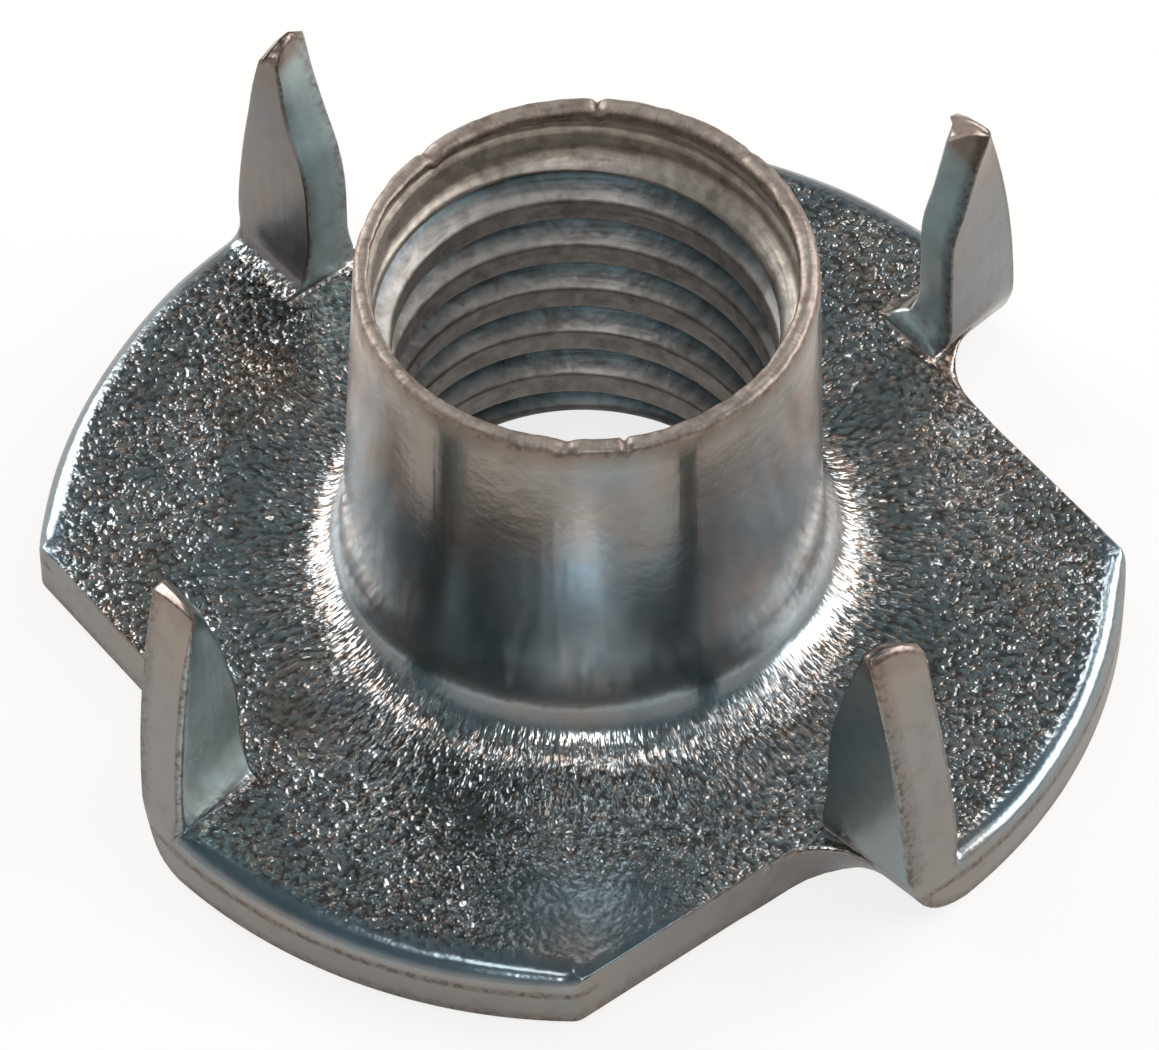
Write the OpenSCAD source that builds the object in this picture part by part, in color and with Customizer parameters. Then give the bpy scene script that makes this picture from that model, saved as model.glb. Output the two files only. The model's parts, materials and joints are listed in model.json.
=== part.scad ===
// Four-prong tee nut, stamped and drawn from one sheet of steel.
// The origin is the centre of the flange's underside, on the bore's axis.
// +Z runs up the barrel, and the prongs are folded up beside it along +X, +Y, -X and -Y.

/* [Flange] */
// Diameter of the flange
flange_d = 20; // [18:0.5:26]
// Thickness of the sheet
sheet_t = 1.2; // [0.8:0.05:1.5]
// Rolled-over radius of the flange's top rim, left by the blanking die
roll_r = 0.42; // [0.1:0.02:0.6]
// Radius on the sharp corner beside each notch
corner_r = 0.35; // [0.1:0.05:1]

/* [Barrel] */
// Overall height of the barrel, from the flange's underside
barrel_h = 8.9; // [6:0.1:14]
// Diameter across the thread's crests
bore_d = 6.9; // [5:0.05:8.3]
// Wall of the barrel outside the crests, at its foot
foot_wall = 0.99; // [0.8:0.01:1.6]
// Wall of the barrel outside the crests, at its rim
rim_wall = 0.68; // [0.5:0.02:1.1]
// Radius between the barrel and the flange
foot_r = 0.95; // [0.4:0.05:1.5]
// Drawn radius round the bore's mouth, in the flange's underside
mouth_r = 1.1; // [0.5:0.05:1.5]
// Thickness of the rim's lip
lip_w = 0.38; // [0.3:0.02:0.48]
// Depth of the plain lead-in above the thread
lead_h = 1.1; // [0.5:0.05:1.5]
// Height of the sloping shoulder between the lead-in and the thread
shoulder_h = 0.4; // [0.2:0.05:0.8]
// Radius on each edge of the rim's lip
rim_r = 0.17; // [0.05:0.01:0.25]

/* [Prongs] */
// Number of prongs round the flange
prong_count = 4; // [3:1:4]
// Height of a prong's tip, from the flange's underside
prong_h = 6.9; // [5:0.05:10]
// Width of a prong at its root, measured out to the flange's rim
prong_w = 2.12; // [1.6:0.02:2.6]
// Height up to which a prong's inner edge is straight
straight_h = 3.1; // [2.6:0.1:4]
// How far the tip stands outside the inner edge
tip_out = 0.74; // [0.4:0.02:1.2]
// Thickness of the tip's chisel edge
tip_w = 0.3; // [0.15:0.05:0.4]
// Inside radius of the fold
fold_r = 0.5; // [0.3:0.05:0.9]
// Distance that the prong's outer face stands ahead of its radial line
fold_lead = 0.7; // [0.4:0.05:1.2]
// Hollow radius between a prong's outer face and the notch beside it
notch_r = 0.9; // [0.2:0.05:1.2]
// How far the fold has drawn that hollow's top below the flange's
web_drop = 0.15; // [0.05:0.05:0.3]

/* [Hidden] */
$fn = 144;
slack = 0.5; // what a cutter reaches past the faces that it opens
lip_share = 0.45; // most of the lip's thickness that either of its rounded edges takes

flange_r = flange_d / 2;
bore_r = bore_d / 2;
base_r = bore_r + foot_wall;
top_r = bore_r + rim_wall;
lead_r = top_r - lip_w;
taper = atan((base_r - top_r) / (barrel_h - sheet_t));
lip_r = min(rim_r, lip_share * lip_w);

cut_x = flange_r - prong_w;             // line of the shear cut, which is also the prong's inner edge
prong_y = -fold_lead;                   // the prong's outer face
outer_fold_r = fold_r + sheet_t;
bend_y = prong_y + outer_fold_r;        // axis of the fold, where the flat flange starts
bend_z = outer_fold_r;
tip_x = cut_x + tip_out;
tip_r = tip_w / 2;
inner_arc_r = tangent_r(tip_out, prong_h - straight_h);
outer_arc_r = tangent_r(prong_w - tip_out - tip_w, prong_h);

// Radius of the arc that leaves a line at a tangent and has run sideways by dx after going dz
function tangent_r(dx, dz) = (dx * dx + dz * dz) / (2 * dx);

// Radius of the barrel's tapered outside at height z
function wall_r(z) = base_r - (z - sheet_t) * tan(taper);

// What lies between an outline and the circle that rounds it
module outside_arc(outline, centre, r) {
    difference() {
        polygon(outline);
        translate(centre) circle(r = r);
    }
}

// Section of the flange's blank, with its rolled-over top rim
module flange_section() {
    square([flange_r - roll_r, sheet_t]);
    square([flange_r, sheet_t - roll_r]);
    translate([flange_r - roll_r, sheet_t - roll_r]) circle(r = roll_r);
}

// Section of the drawn barrel's outside, with the fillet at its foot and the rounded rim
module barrel_section() {
    foot_c = [base_r + foot_r / cos(taper) - foot_r * tan(taper), sheet_t + foot_r];
    foot_touch = foot_c - foot_r * [cos(taper), sin(taper)];
    rim_c = [wall_r(barrel_h - lip_r) - lip_r / cos(taper), barrel_h - lip_r];
    rim_touch = rim_c + lip_r * [cos(taper), sin(taper)];
    difference() {
        polygon([[0, 0], [base_r, 0], [base_r, sheet_t], [wall_r(barrel_h), barrel_h], [0, barrel_h]]);
        outside_arc([rim_c, rim_touch, rim_touch + [slack, 0], rim_touch + [slack, slack],
            [rim_c.x, barrel_h + slack]], rim_c, lip_r);
    }
    outside_arc([[0, 0], [foot_c.x, 0], [foot_c.x, sheet_t], foot_touch, [0, foot_touch.y]], foot_c, foot_r);
}

// Section of the bore: drawn mouth, the crests' cylinder, shoulder, lead-in and the lip's inner edge
module bore_section() {
    mouth_c = [bore_r + mouth_r, mouth_r];
    lead_z = barrel_h - lead_h;
    shoulder_z = lead_z - shoulder_h;
    lip_c = [lead_r + lip_r, barrel_h - lip_r];
    translate([0, -slack]) square([bore_r, shoulder_z + slack]);
    polygon([[0, shoulder_z], [bore_r, shoulder_z], [lead_r, lead_z], [lead_r, barrel_h], [0, barrel_h]]);
    outside_arc([[0, lip_c.y], [lead_r, lip_c.y], lip_c, [lip_c.x, barrel_h + slack], [0, barrel_h + slack]],
        lip_c, lip_r);
    outside_arc([[0, -slack], [mouth_c.x, -slack], [mouth_c.x, 0], [bore_r, mouth_r], [0, mouth_r]],
        mouth_c, mouth_r);
}

// Cutter that opens the notch a prong was folded out of, and rounds the corner beside it
module notch() {
    corner_c = [cut_x - corner_r, -sqrt(pow(flange_r - corner_r, 2) - pow(cut_x - corner_r, 2))];
    rim_touch = corner_c * flange_r / (flange_r - corner_r);
    apex = [cut_x, (flange_r * flange_r - rim_touch.x * cut_x) / rim_touch.y];
    translate([0, 0, -slack]) linear_extrude(height = sheet_t + 2 * slack) {
        translate([cut_x, -flange_r]) square([prong_w + slack, flange_r + bend_y]);
        outside_arc([corner_c, [cut_x, corner_c.y], [cut_x + slack, corner_c.y], apex + [slack, -slack],
            rim_touch], corner_c, corner_r);
    }
}

// Outline of a standing prong, seen along the flange's rim: x outwards, y up
module prong_outline() {
    difference() {
        translate([cut_x, 0]) square([prong_w, prong_h - tip_r]);
        outside_arc([[cut_x - slack, straight_h], [tip_x, straight_h], [tip_x, prong_h], [cut_x - slack, prong_h]],
            [cut_x + inner_arc_r, straight_h], inner_arc_r);
        outside_arc([[tip_x + tip_w, 0], [flange_r + slack, 0], [flange_r + slack, prong_h],
            [tip_x + tip_w, prong_h]], [flange_r - outer_arc_r, 0], outer_arc_r);
    }
    translate([tip_x + tip_r, prong_h - tip_r]) circle(r = tip_r);
}

// Quarter turn of the fold, from the flat flange up to the standing prong, of a section beside its axis
module fold_sweep() {
    translate([cut_x, bend_y, bend_z]) rotate([0, 90, 0]) rotate([0, 0, -90])
        rotate_extrude(angle = 90) children();
}

// A prong with the fold at its root
module prong() {
    intersection() {
        cylinder(r = flange_r, h = prong_h);
        translate([0, bend_y, 0]) rotate([90, 0, 0]) linear_extrude(height = outer_fold_r) prong_outline();
        union() {
            translate([cut_x, prong_y, bend_z]) cube([prong_w, sheet_t, prong_h]);
            fold_sweep() translate([fold_r, 0]) square([sheet_t, prong_w]);
        }
    }
}

// Web that rounds the notch's root into the outside of the fold
module notch_web() {
    intersection() {
        translate([cut_x, prong_y - notch_r, 0])
            cube([notch_r, notch_r + outer_fold_r, sheet_t - web_drop]);
        fold_sweep() translate([fold_r, 0]) difference() {
            square([sheet_t + notch_r, notch_r]);
            translate([sheet_t + notch_r, notch_r]) circle(r = notch_r);
        }
    }
}

module tee_nut() {
    color("#8d9799") difference() {
        union() {
            difference() {
                rotate_extrude() flange_section();
                for (i = [0 : prong_count - 1]) rotate(i * 360 / prong_count) notch();
            }
            rotate_extrude() barrel_section();
            for (i = [0 : prong_count - 1]) rotate(i * 360 / prong_count) {
                prong();
                notch_web();
            }
        }
        rotate_extrude() bore_section();
    }
}

tee_nut();
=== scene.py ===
import json
import math

import bmesh
import bpy
from mathutils import Matrix, Vector, noise


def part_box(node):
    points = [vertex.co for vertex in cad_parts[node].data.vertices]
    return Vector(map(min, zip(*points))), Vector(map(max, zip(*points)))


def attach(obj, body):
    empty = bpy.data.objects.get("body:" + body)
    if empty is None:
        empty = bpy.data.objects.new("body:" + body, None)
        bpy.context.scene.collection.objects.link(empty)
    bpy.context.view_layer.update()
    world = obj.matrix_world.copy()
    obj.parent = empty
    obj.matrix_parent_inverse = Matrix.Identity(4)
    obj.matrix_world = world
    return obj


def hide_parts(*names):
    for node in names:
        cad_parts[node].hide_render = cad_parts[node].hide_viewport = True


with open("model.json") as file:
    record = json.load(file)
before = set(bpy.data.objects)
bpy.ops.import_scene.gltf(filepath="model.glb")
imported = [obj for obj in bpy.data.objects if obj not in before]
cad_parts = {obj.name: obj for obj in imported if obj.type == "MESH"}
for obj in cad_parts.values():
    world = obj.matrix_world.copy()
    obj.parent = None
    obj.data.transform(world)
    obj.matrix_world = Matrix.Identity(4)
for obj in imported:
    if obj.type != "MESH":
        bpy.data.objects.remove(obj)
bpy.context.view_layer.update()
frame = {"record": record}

# Four-prong tee nut, blanked, drawn and tapped from one sheet of steel, then zinc plated.
# Lengths are in millimetres until a finished piece is scaled to metres.
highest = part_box("tee_nut")[1]
mounts = {mount["name"]: mount for mount in frame["record"]["mounts"]}
flangeR = highest.x * 1000
barrelH = highest.z * 1000
crestR = mounts["thread"]["dims"]["r_mm"]
sheetT = mounts["seat"]["pos_m"][2] * 1000

# How finely each stretch is divided.
steps = {
    # columns in a quarter of the flange, from one sharp corner to the next
    "corner": 5, "cut": 20, "web": 3, "fold": 8, "segment": 20, "rim": 16,
    # rows down a sheared or rolled edge
    "roll": 5, "wall": 3, "burr": 2,
    # rows from the bore's top over the lip and out to the flange's outline, and of the drawn mouth
    "lip": 12, "barrel": 16, "foot": 9, "flange": 14, "mouth": 6,
    # columns across a prong, and rows up it and over its tip
    "across": 14, "upright": 22, "tip": 5,
}
# Millimetres within which two points are taken as one.
tolerances = {
    "ends": 0.005,         # a point of the thread and an end of the bore
    "thread": 0.001,       # points of the thread that were drawn together there
    "seams": 0.002,        # points where two stretches meet
    "sliver": 0.0005,      # both ends of an edge, which then goes
}
tiny = 1e-6     # what rounding may add to a length or an angle


def lerp(a, b, t):
    return a + (b - a) * t


def smoothStep(low, high, value):
    # rises from low to high, or falls where high is the smaller
    t = min(max((value - low) / (high - low), 0.0), 1.0)
    return t * t * (3 - 2 * t)


def softMax(a, b, width):
    h = max(width - abs(a - b), 0.0) / width
    return max(a, b) + h * h * width / 4


def flat(radius, angle):
    return Vector((radius * math.cos(angle), radius * math.sin(angle), 0))


def raised(point, z):
    return Vector((point.x, point.y, z))


def chainOf(bm, spots):
    chain = [bm.verts.new(spot) for spot in spots]
    for pair in zip(chain, chain[1:]):
        bm.edges.new(pair)
    return chain


def grow(bm, chain, spots, closed=False):
    # extrudes a chain of edges once and puts its new vertices in their places
    ends = chain[1:] + chain[:1] if closed else chain[1:]
    edges = [bm.edges.get(pair) for pair in zip(chain, ends)]
    made = bmesh.ops.extrude_edge_only(bm, edges=edges)["geom"]
    new = {item for item in made if isinstance(item, bmesh.types.BMVert)}
    grown = [next(edge.other_vert(vert) for edge in vert.link_edges if edge.other_vert(vert) in new)
             for vert in chain]
    for vert, spot in zip(grown, spots):
        vert.co = spot
    return grown


def edgeRows(top, bottom, rollR, burrR):
    # inset and height of each row down an edge: rolled top, straight wall, small burr
    rows = []
    for i in range(steps["roll"]):
        angle = math.pi / 2 * i / steps["roll"]
        rows.append((rollR * (1 - math.sin(angle)), top - rollR * (1 - math.cos(angle))))
    for i in range(steps["wall"]):
        rows.append((0.0, lerp(top - rollR, bottom + burrR, i / steps["wall"])))
    for i in range(steps["burr"] + 1):
        angle = math.pi / 2 * i / steps["burr"]
        rows.append((burrR * (1 - math.cos(angle)), bottom + burrR * (1 - math.sin(angle))))
    return rows


# Barrel, bore and thread.
barrel = {
    "footWall": 0.99,      # wall outside the crests, where the barrel leaves the flange
    "rimWall": 0.684,      # the same, at the rim
    "footR": 0.95,         # fillet round the foot ...
    "footSwing": 0.34,     # ... which is this much larger ...
    "footTurn": -94,       # ... in this direction, and smaller opposite
    "mouthR": 1.1,         # drawn radius in the underside
    "lipW": 0.385,         # thickness of the rounded lip
    "lipSquare": 0.75,     # 1 is a half round lip, and less has a narrow flat on top
    "leadR": 3.84,         # plain lead-in
    "leadTopZ": 8.2,       # where it starts to widen to the lip's inside
    "leadZ": 7.75,         # where the lead-in ends
    "shoulderZ": 7.35,     # where its sloping shoulder has reached the crests
    "shoulderSoft": 0.1,   # how far the shoulder's corners are eased
}
thread = {
    "pitch": 1.25,
    "rootR": 3.92,
    "flankAngle": 30,      # degrees between a flank and the plane across the bore
    "crestShare": 0.4,     # flat crest, as a share of the pitch
    "crestZ": 2.48,        # height of a crest's lower edge ...
    "crestTurn": 52.5,     # ... in this direction, in degrees
    "worn": 0.025,         # share of the pitch to either side over which its corners are worn round
    "runOut": 0.05,        # rounding where the thread runs out
    "lowZ": 0.2,           # height, inside the drawn mouth, from which the bore is spun up
    # stations of the vertices along one pitch, close together at the profile's corners
    "stations": [0, 0.035, 0.1, 0.2, 0.3, 0.365, 0.4, 0.435, 0.5, 0.57, 0.617, 0.66, 0.7, 0.74, 0.783,
                 0.83, 0.9, 0.965],
}
baseR = crestR + barrel["footWall"]
topR = crestR + barrel["rimWall"]
lipR = barrel["lipW"] / 2
lipZ = barrelH - lipR
taper = math.atan((baseR - topR) / (barrelH - sheetT))


def crestLine(turn):
    # height of a crest's lower edge in this direction
    return thread["crestZ"] + thread["pitch"] * (turn - math.radians(thread["crestTurn"])) / (2 * math.pi)


def threadR(turn, z):
    # radius of the thread's wall, the mean of three places in the pitch, which wears its corners round
    start = crestLine(turn)
    depth = thread["rootR"] - crestR
    flank = depth * math.tan(math.radians(thread["flankAngle"])) / thread["pitch"]
    radius = 0.0
    for offset, weight in ((-thread["worn"], 0.25), (0, 0.5), (thread["worn"], 0.25)):
        u = ((z - start) / thread["pitch"] + offset) % 1.0
        rise = min((u - thread["crestShare"]) / flank, (1 - u) / flank, 1.0)
        radius += weight * (crestR + depth * max(rise, 0.0))
    return radius


def plainR(z):
    # radius of the bore without its thread: drawn mouth below, shoulder and lead-in above
    mouthR = barrel["mouthR"]
    if z < mouthR:
        return crestR + mouthR - math.sqrt(mouthR ** 2 - (mouthR - z) ** 2)
    soft = barrel["shoulderSoft"]
    slope = smoothStep(barrel["shoulderZ"] - soft, barrel["leadZ"] + soft, z)
    lead = lerp(barrel["leadR"], topR - barrel["lipW"], smoothStep(barrel["leadTopZ"], lipZ, z))
    return lerp(crestR, lead, slope)


def boreR(turn, z):
    return softMax(threadR(turn, z), plainR(z), thread["runOut"])


# Flange and prongs, whose outline is worked out one quarter at a time.
flange = {
    "rollR": 0.42,         # rolled-over edge of the rim
    "cornerRollR": 0.3,    # the same at the sharp corners
    "cutEdgeR": 0.07,      # edge left by the shear
    "burrR": 0.05,         # edge on the underside
    "cornerR": 0.36,       # sharp corner beside a notch, seen from above
    "cutFade": (0.8, 1.0),     # share of the cut over which its edge runs out
    "rollFade": (0.7, 1.0),    # share of the rim over which the roll narrows to the corner's
}
prongShape = {
    "cutX": 7.88,          # usual line of the notch, which is also the prong's inner edge
    "foldR": 0.5,          # inside radius of the fold ...
    "foldY": 1.0,          # ... and how far its axis stands off the prong's radial line
    "tipOut": 0.74,        # how far the tip stands outside the line of the notch
    "tipW": 0.3,           # usual width of the tip, to which the outer edge's arc runs ...
    "height": 6.9,         # ... at this height
    "rimLean": 0.02,       # how far the standing prong's outer edge may pass the fold's end at the rim
    "edgeR": 0.07,         # edges of the standing prong
    "edgeShare": 0.3,      # the most of a narrow tip's width that its rounded edge takes
    "wallShare": 0.4,      # the same, of the inner wall's height
    "webShare": 0.75,      # the most of a prong's width over which the lines close up beside the notch
    "rimRollR": 0.16,      # what is left of the rim's rolled edge ...
    "rollWidths": (0.3, 1.2),      # ... where the prong is at least so wide
    "innerThin": 0.25,     # share by which the inner edge is thinner
    "tipThin": 0.1,        # how far the tip's two faces close in
    # heights over which the outer edge leans, and the roll, the thinning and the tip's skew set in
    "spans": {"rim": (0.5, 2.0), "out": (0.6, 2.6), "roll": (0.6, 2.0), "thin": (1.4, 2.4),
              "skew": (5.0, 6.6)},
}
# What a prong has unless its own entry says otherwise.
usualProng = {
    "cutShift": 0.0,       # how far the line of its notch stands off the usual one
    "webR": 0.9,           # the notch's rounded root
    "outShift": 0.0,       # how far its outer edge leans out
    "turnIn": 0.0,         # how far the inner edge is twisted round ...
    "turnHigh": 0.1,       # ... and the outer one at its tip, with "turnLow" at its foot
    "tipSkew": 0.0,        # how much further out the tip starts on its outside face
}
# The prongs from +X anticlockwise. "inner" has height, and distance from the nut's axis, of points up the
# inner edge. "tips" is the tip's height on the outside face, midway and on the inside face. The last entry is
# the tint of the outside and the inside face, teal above 0 and brown below: partly the passivate's own film,
# partly painted light and shade that differs from face to face.
prongs = [usualProng | own for own in (
    {"cutShift": -0.17, "webR": 1.25, "turnIn": -0.2, "turnLow": 0.28,
     "inner": [(1.4, 7.75), (1.9, 8.02), (3.0, 8.05), (4.0, 8.02), (4.5, 8.08), (5.0, 8.25), (5.5, 8.38),
               (6.1, 8.54), (6.7, 8.8)],
     "tips": (6.85, 6.62, 6.15), "tipW": 0.16, "filmsAndShading": (-0.22, 0.0)},
    {"outShift": 0.06, "turnLow": 0.1, "turnHigh": 0.05, "tipSkew": 0.36,
     "inner": [(1.4, 7.88), (3.5, 7.88), (4.1, 7.96), (4.6, 8.12), (5.0, 8.34), (5.4, 8.49), (6.1, 8.6),
               (6.9, 8.74)],
     "tips": (6.6, 7.0, 6.75), "tipW": 0.2, "filmsAndShading": (0.0, -0.4)},
    {"cutShift": 0.1, "turnLow": 0.66, "turnHigh": 0.2,
     "inner": [(1.4, 7.98), (3.2, 7.99), (3.8, 8.06), (4.3, 8.17), (4.95, 8.3), (5.5, 8.46), (6.1, 8.65),
               (6.5, 8.9)],
     "tips": (6.36, 6.5, 6.56), "tipW": 0.14, "filmsAndShading": (0.0, 1.0)},
    {"webR": 1.2, "turnLow": 0.36,
     "inner": [(1.4, 7.85), (2.6, 7.8), (3.4, 7.8), (4.0, 7.85), (4.8, 8.0), (5.8, 8.27), (6.7, 8.54)],
     "tips": (7.0, 7.0, 6.62), "tipW": 0.3, "filmsAndShading": (0.5, 0.3)},
)]


def cutX(k):
    return prongShape["cutX"] + prongs[k % 4]["cutShift"]


def cornerCentre(k):
    x = cutX(k) - flange["cornerR"]
    return Vector((x, -math.sqrt((flangeR - flange["cornerR"]) ** 2 - x * x), 0))


def tipTurn(k):
    # direction in which the line of the cut meets the flat of the rim
    return math.acos(cutX(k) / (flangeR - flange["rollR"]))


# axis of the fold, whose height is also the radius of the fold's outside
foldY = prongShape["foldY"]
foldZ = prongShape["foldR"] + sheetT
level = math.acos(prongShape["foldR"] / foldZ)     # turn at which the outside reaches the flange's top
cornerStart = math.atan2(cornerCentre(0).y, cornerCentre(0).x)
marks = {}
count = 0
for part in ("corner", "cut", "web", "fold", "segment", "rim"):
    marks[part] = count
    count += steps[part]
quarter = count
columns = 4 * quarter


def columnTurn(c):
    return cornerStart + 2 * math.pi * c / columns


def columnAt(turn):
    return round((turn - cornerStart) / (2 * math.pi) * columns) % columns


def webLine(s, fall):
    # point this far outside the fold's outside, at share s of the way up to the flange's top
    radius = foldZ + fall
    angle = lerp(math.acos(foldZ / radius), math.acos(prongShape["foldR"] / radius), s)
    return foldY - radius * math.sin(angle), foldZ - radius * math.cos(angle)


def outlineAt(k, i, bottom=False):
    # outline point, outward normal and edge radius at column i of quarter k, seen from above
    x = cutX(k)
    if i < marks["cut"]:
        t = i / steps["corner"]
        centre = cornerCentre(k)
        angle = lerp(math.atan2(centre.y, centre.x), 0.0, t)
        normal = flat(1, angle)
        radius = flange["burrR"] if bottom else lerp(flange["cornerRollR"], flange["cutEdgeR"], t)
        return centre + normal * flange["cornerR"], normal, radius
    webY = webLine(1.0, prongs[k]["webR"])[0]
    if i <= marks["web"]:
        t = (i - marks["cut"]) / steps["cut"]
        radius = (flange["burrR"] if bottom else flange["cutEdgeR"]) * (1 - smoothStep(*flange["cutFade"], t))
        return Vector((x, lerp(cornerCentre(k).y, webY, t), 0)), Vector((1, 0, 0)), radius
    still = Vector((0, 0, 0))
    if bottom:
        if i <= marks["web"] + steps["fold"]:
            s = 1 - (i - marks["web"]) / steps["fold"]
            return Vector((x, webLine(s, prongs[k]["webR"])[0], 0)), still, 0.0
        foot = Vector((x, webLine(0.0, prongs[k]["webR"])[0], 0))
        if i <= marks["segment"]:
            return foot, still, 0.0
        if i < marks["rim"]:
            tip = flat(flangeR - flange["burrR"], tipTurn(k))
            return foot.lerp(tip, (i - marks["segment"]) / steps["segment"]), still, 0.0
    if i < marks["fold"]:
        t = (i - marks["web"]) / steps["web"]
        return Vector((x, lerp(webY, webLine(1.0, 0.0)[0], t), 0)), still, 0.0
    if i < marks["segment"]:
        s = 1 - (i - marks["fold"]) / steps["fold"]
        return Vector((x, foldY - prongShape["foldR"] * math.tan(level * s), 0)), still, 0.0
    if i < marks["rim"]:
        tip = flat(flangeR - flange["rollR"], tipTurn(k))
        return Vector((x, foldY, 0)).lerp(tip, (i - marks["segment"]) / steps["segment"]), still, 0.0
    t = (i - marks["rim"]) / steps["rim"]
    last = cornerCentre(k + 1)
    angle = lerp(tipTurn(k), math.pi / 2 + math.atan2(last.y, last.x), t)
    normal = flat(1, angle)
    roll = lerp(flange["rollR"], flange["cornerRollR"], smoothStep(*flange["rollFade"], t))
    return normal * flangeR, normal, flange["burrR"] if bottom else roll


def turned(point, k):
    return Matrix.Rotation(math.pi / 2 * k, 3, "Z") @ point


def outlineSpot(c, bottom):
    k, i = divmod(c % columns, quarter)
    point, normal, radius = outlineAt(k, i, bottom)
    return raised(turned(point - normal * radius, k), 0.0 if bottom else sheetT)


def wallSpots(c):
    k, i = divmod(c % columns, quarter)
    point, normal, rollR = outlineAt(k, i)
    rows = edgeRows(sheetT, 0.0, rollR, outlineAt(k, i, True)[2])
    return [raised(turned(point - normal * inset, k), z) for inset, z in rows]


# A prong with its fold and the strip of flange that it continues.
def tangentR(across, along):
    return (across ** 2 + along ** 2) / (2 * across)


def through(points, z):
    # smooth curve through a few points, straight beyond its ends
    if z <= points[0][0]:
        return points[0][1]
    for i, (a, b) in enumerate(zip(points, points[1:])):
        if z <= b[0] or b is points[-1]:
            before, after = points[max(i - 1, 0)], points[min(i + 2, len(points) - 1)]
            span = b[0] - a[0]
            slopeA = (b[1] - before[1]) / (b[0] - before[0]) * span
            slopeB = (after[1] - a[1]) / (after[0] - a[0]) * span
            t = (z - a[0]) / span
            if t > 1:
                return b[1] + slopeB * (t - 1)
            return (a[1] * (1 + 2 * t) * (1 - t) ** 2 + slopeA * t * (1 - t) ** 2
                    + b[1] * t * t * (3 - 2 * t) + slopeB * t * t * (t - 1))


def prongWidth(k, z):
    # inner and outer edge of prong k at height z
    own = prongs[k]
    shape = prongShape
    outArc = tangentR(flangeR - shape["cutX"] - shape["tipOut"] - shape["tipW"], shape["height"])
    inner = cutX(k) if z <= own["inner"][0][0] else through(own["inner"], z)
    outer = flangeR - outArc + math.sqrt(outArc ** 2 - z ** 2)
    rimX = math.sqrt(flangeR ** 2 - foldY ** 2)
    outer = min(outer, rimX + shape["rimLean"] * smoothStep(*shape["spans"]["rim"], z))
    outer += own["outShift"] * smoothStep(*shape["spans"]["out"], z)
    middle = (inner + outer) / 2
    half = max((outer - inner) / 2, own["tipW"] / 2)
    return middle - half, middle + half


def acrossShares(k):
    # where the lines along the prong lie across it: close together beside the notch's root
    root = min(prongs[k]["webR"] / (flangeR - cutX(k)), prongShape["webShare"])
    close = steps["across"] // 2
    shares = [root * (1 - math.cos(math.pi / 2 * i / close)) for i in range(close)]
    rest = steps["across"] - close
    return shares + [lerp(root, 1.0, i / rest) for i in range(rest + 1)]


def tipZ(k, height):
    # height of the tip over a point of the sheet's thickness
    outside, middle, inside = prongs[k]["tips"]
    t = 2 * height / sheetT - 1
    return middle + (inside - outside) / 2 * t + ((inside + outside) / 2 - middle) * t * t


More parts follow.
